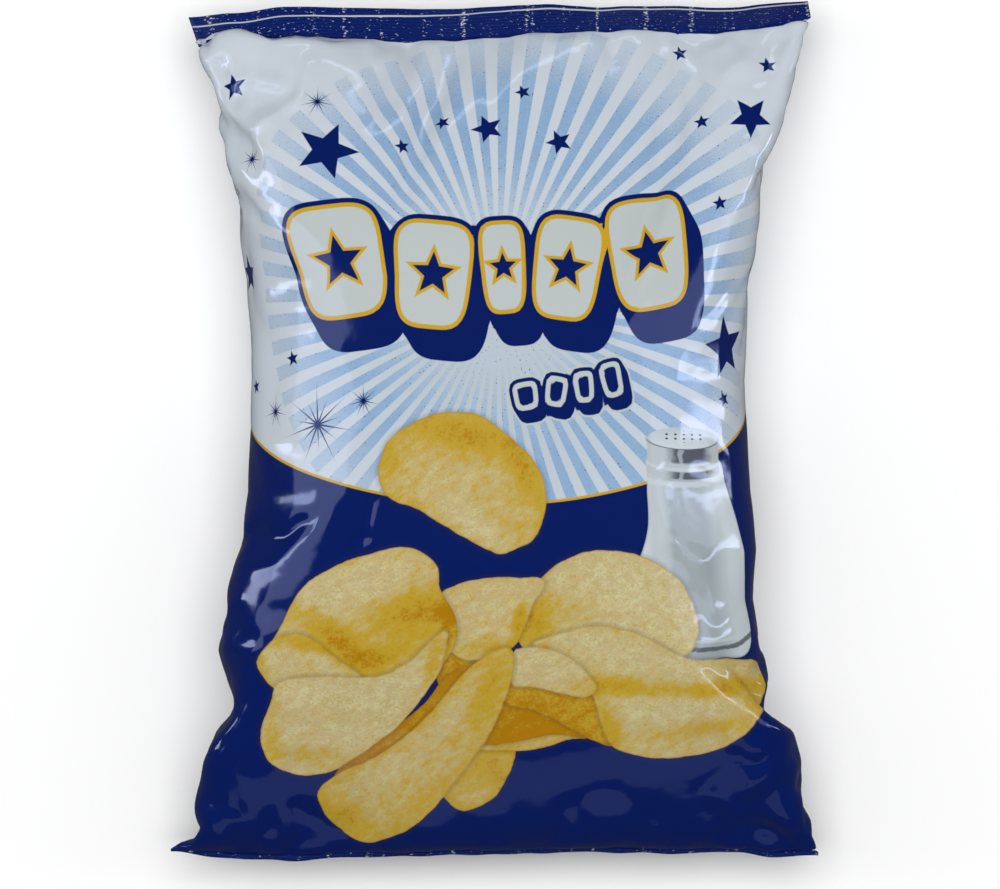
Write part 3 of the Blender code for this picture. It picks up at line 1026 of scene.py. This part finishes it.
film_copy = film.data.copy()
film_copy.uv_layers.remove(film_copy.uv_layers["OFBake"])
lap = bmesh.new()
lap.from_mesh(film_copy)
bpy.data.meshes.remove(film_copy)
web_map = lap.loops.layers.uv["print"]
lap_edge = FILM_WIDTH - LAP_WIDTH / 2 - LAP_SPARE
others = [face for face in lap.faces if min(abs(loop[web_map].uv.x) for loop in face.loops) < lap_edge]
bmesh.ops.delete(lap, geom=others, context="FACES")
back_seam = new_piece("back_seam", lap)
back_seam.data.materials.clear()
wall = back_seam.modifiers.new("lap", "SOLIDIFY")
wall.thickness = LAP_PROUD
wall.offset = 1
applied(back_seam)
back_seam.data.materials.append(film_finish.material)
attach(back_seam, "root")

# ---------------------------------------------------------------------------------------------------------
# The studio: a pale floor, soft lights and a camera straight above the bag, with a long lens. A broad lamp
# overhead gives the light, and the soft boxes at the sides are what shows in the gloss.

CAMERA_AIM = Vector((0.0012, -0.006, 0.04))
CAMERA_DISTANCE = 2.4
VIEW_WIDTH = 0.400  # what the picture takes in at the aim
SENSOR = 36.0
FLOOR_HALF = 3.0  # half of the floor's side

bm = bmesh.new()
bmesh.ops.create_grid(bm, x_segments=1, y_segments=1, size=FLOOR_HALF)
floor = new_piece("floor", bm)
floor_finish = Finish("pale_floor", roughness=0.6)
floor_at = floor_finish.value("ShaderNodeTexCoord", output=3)
floor_tone = floor_finish.noise(floor_at, 0.4, detail=2.0)
floor_colour = floor_finish.ink(floor_tone, (0.88, 0.88, 0.88), (0.90, 0.90, 0.90))
floor_finish.feed(floor_finish.shader.inputs["Base Color"], floor_colour)
floor.data.materials.append(floor_finish.material)
floor.visible_glossy = False


def softbox(name, place, size, brightness, in_gloss=True):
    """A rectangular soft light that faces the bag, by how bright its face is."""
    light = bpy.data.lights.new(name, "AREA")
    light.shape = "RECTANGLE"
    light.size, light.size_y = size
    light.energy = brightness * math.pi * size[0] * size[1]
    lamp = bpy.data.objects.new(name, light)
    lamp.location = place
    lamp.rotation_euler = (Vector((0, 0, 0.05)) - Vector(place)).to_track_quat("-Z", "Y").to_euler()
    lamp.visible_glossy = in_gloss
    scene.collection.objects.link(lamp)


softbox("overhead_lamp", (0.0, 0.30, 2.75), (2.4, 2.4), 4.5, in_gloss=False)
softbox("left_softbox", (-1.15, 0.15, 1.05), (0.7, 1.3), 1.5)
softbox("right_softbox", (1.20, 0.10, 1.10), (0.7, 1.3), 1.3)
softbox("end_softbox", (0.15, -1.40, 0.85), (1.5, 0.5), 0.3)
softbox("left_strip", (-1.60, 0.20, 0.42), (0.12, 1.4), 5.5)
softbox("right_strip", (1.60, 0.10, 0.42), (0.12, 1.4), 5.5)
softbox("top_strip", (0.10, 1.60, 0.55), (1.0, 0.10), 3.0)

world = bpy.data.worlds.new("studio")
world.use_nodes = True
world.node_tree.nodes["Background"].inputs["Color"].default_value = (1.0, 1.0, 1.0, 1.0)
world.node_tree.nodes["Background"].inputs["Strength"].default_value = 0.07
scene.world = world
scene.view_settings.view_transform = "Standard"

lens = bpy.data.cameras.new("camera")
lens.sensor_width = SENSOR
lens.lens = SENSOR * CAMERA_DISTANCE / VIEW_WIDTH
camera = bpy.data.objects.new("camera", lens)
camera.location = CAMERA_AIM + Vector((0, 0, CAMERA_DISTANCE))
scene.collection.objects.link(camera)
scene.camera = camera
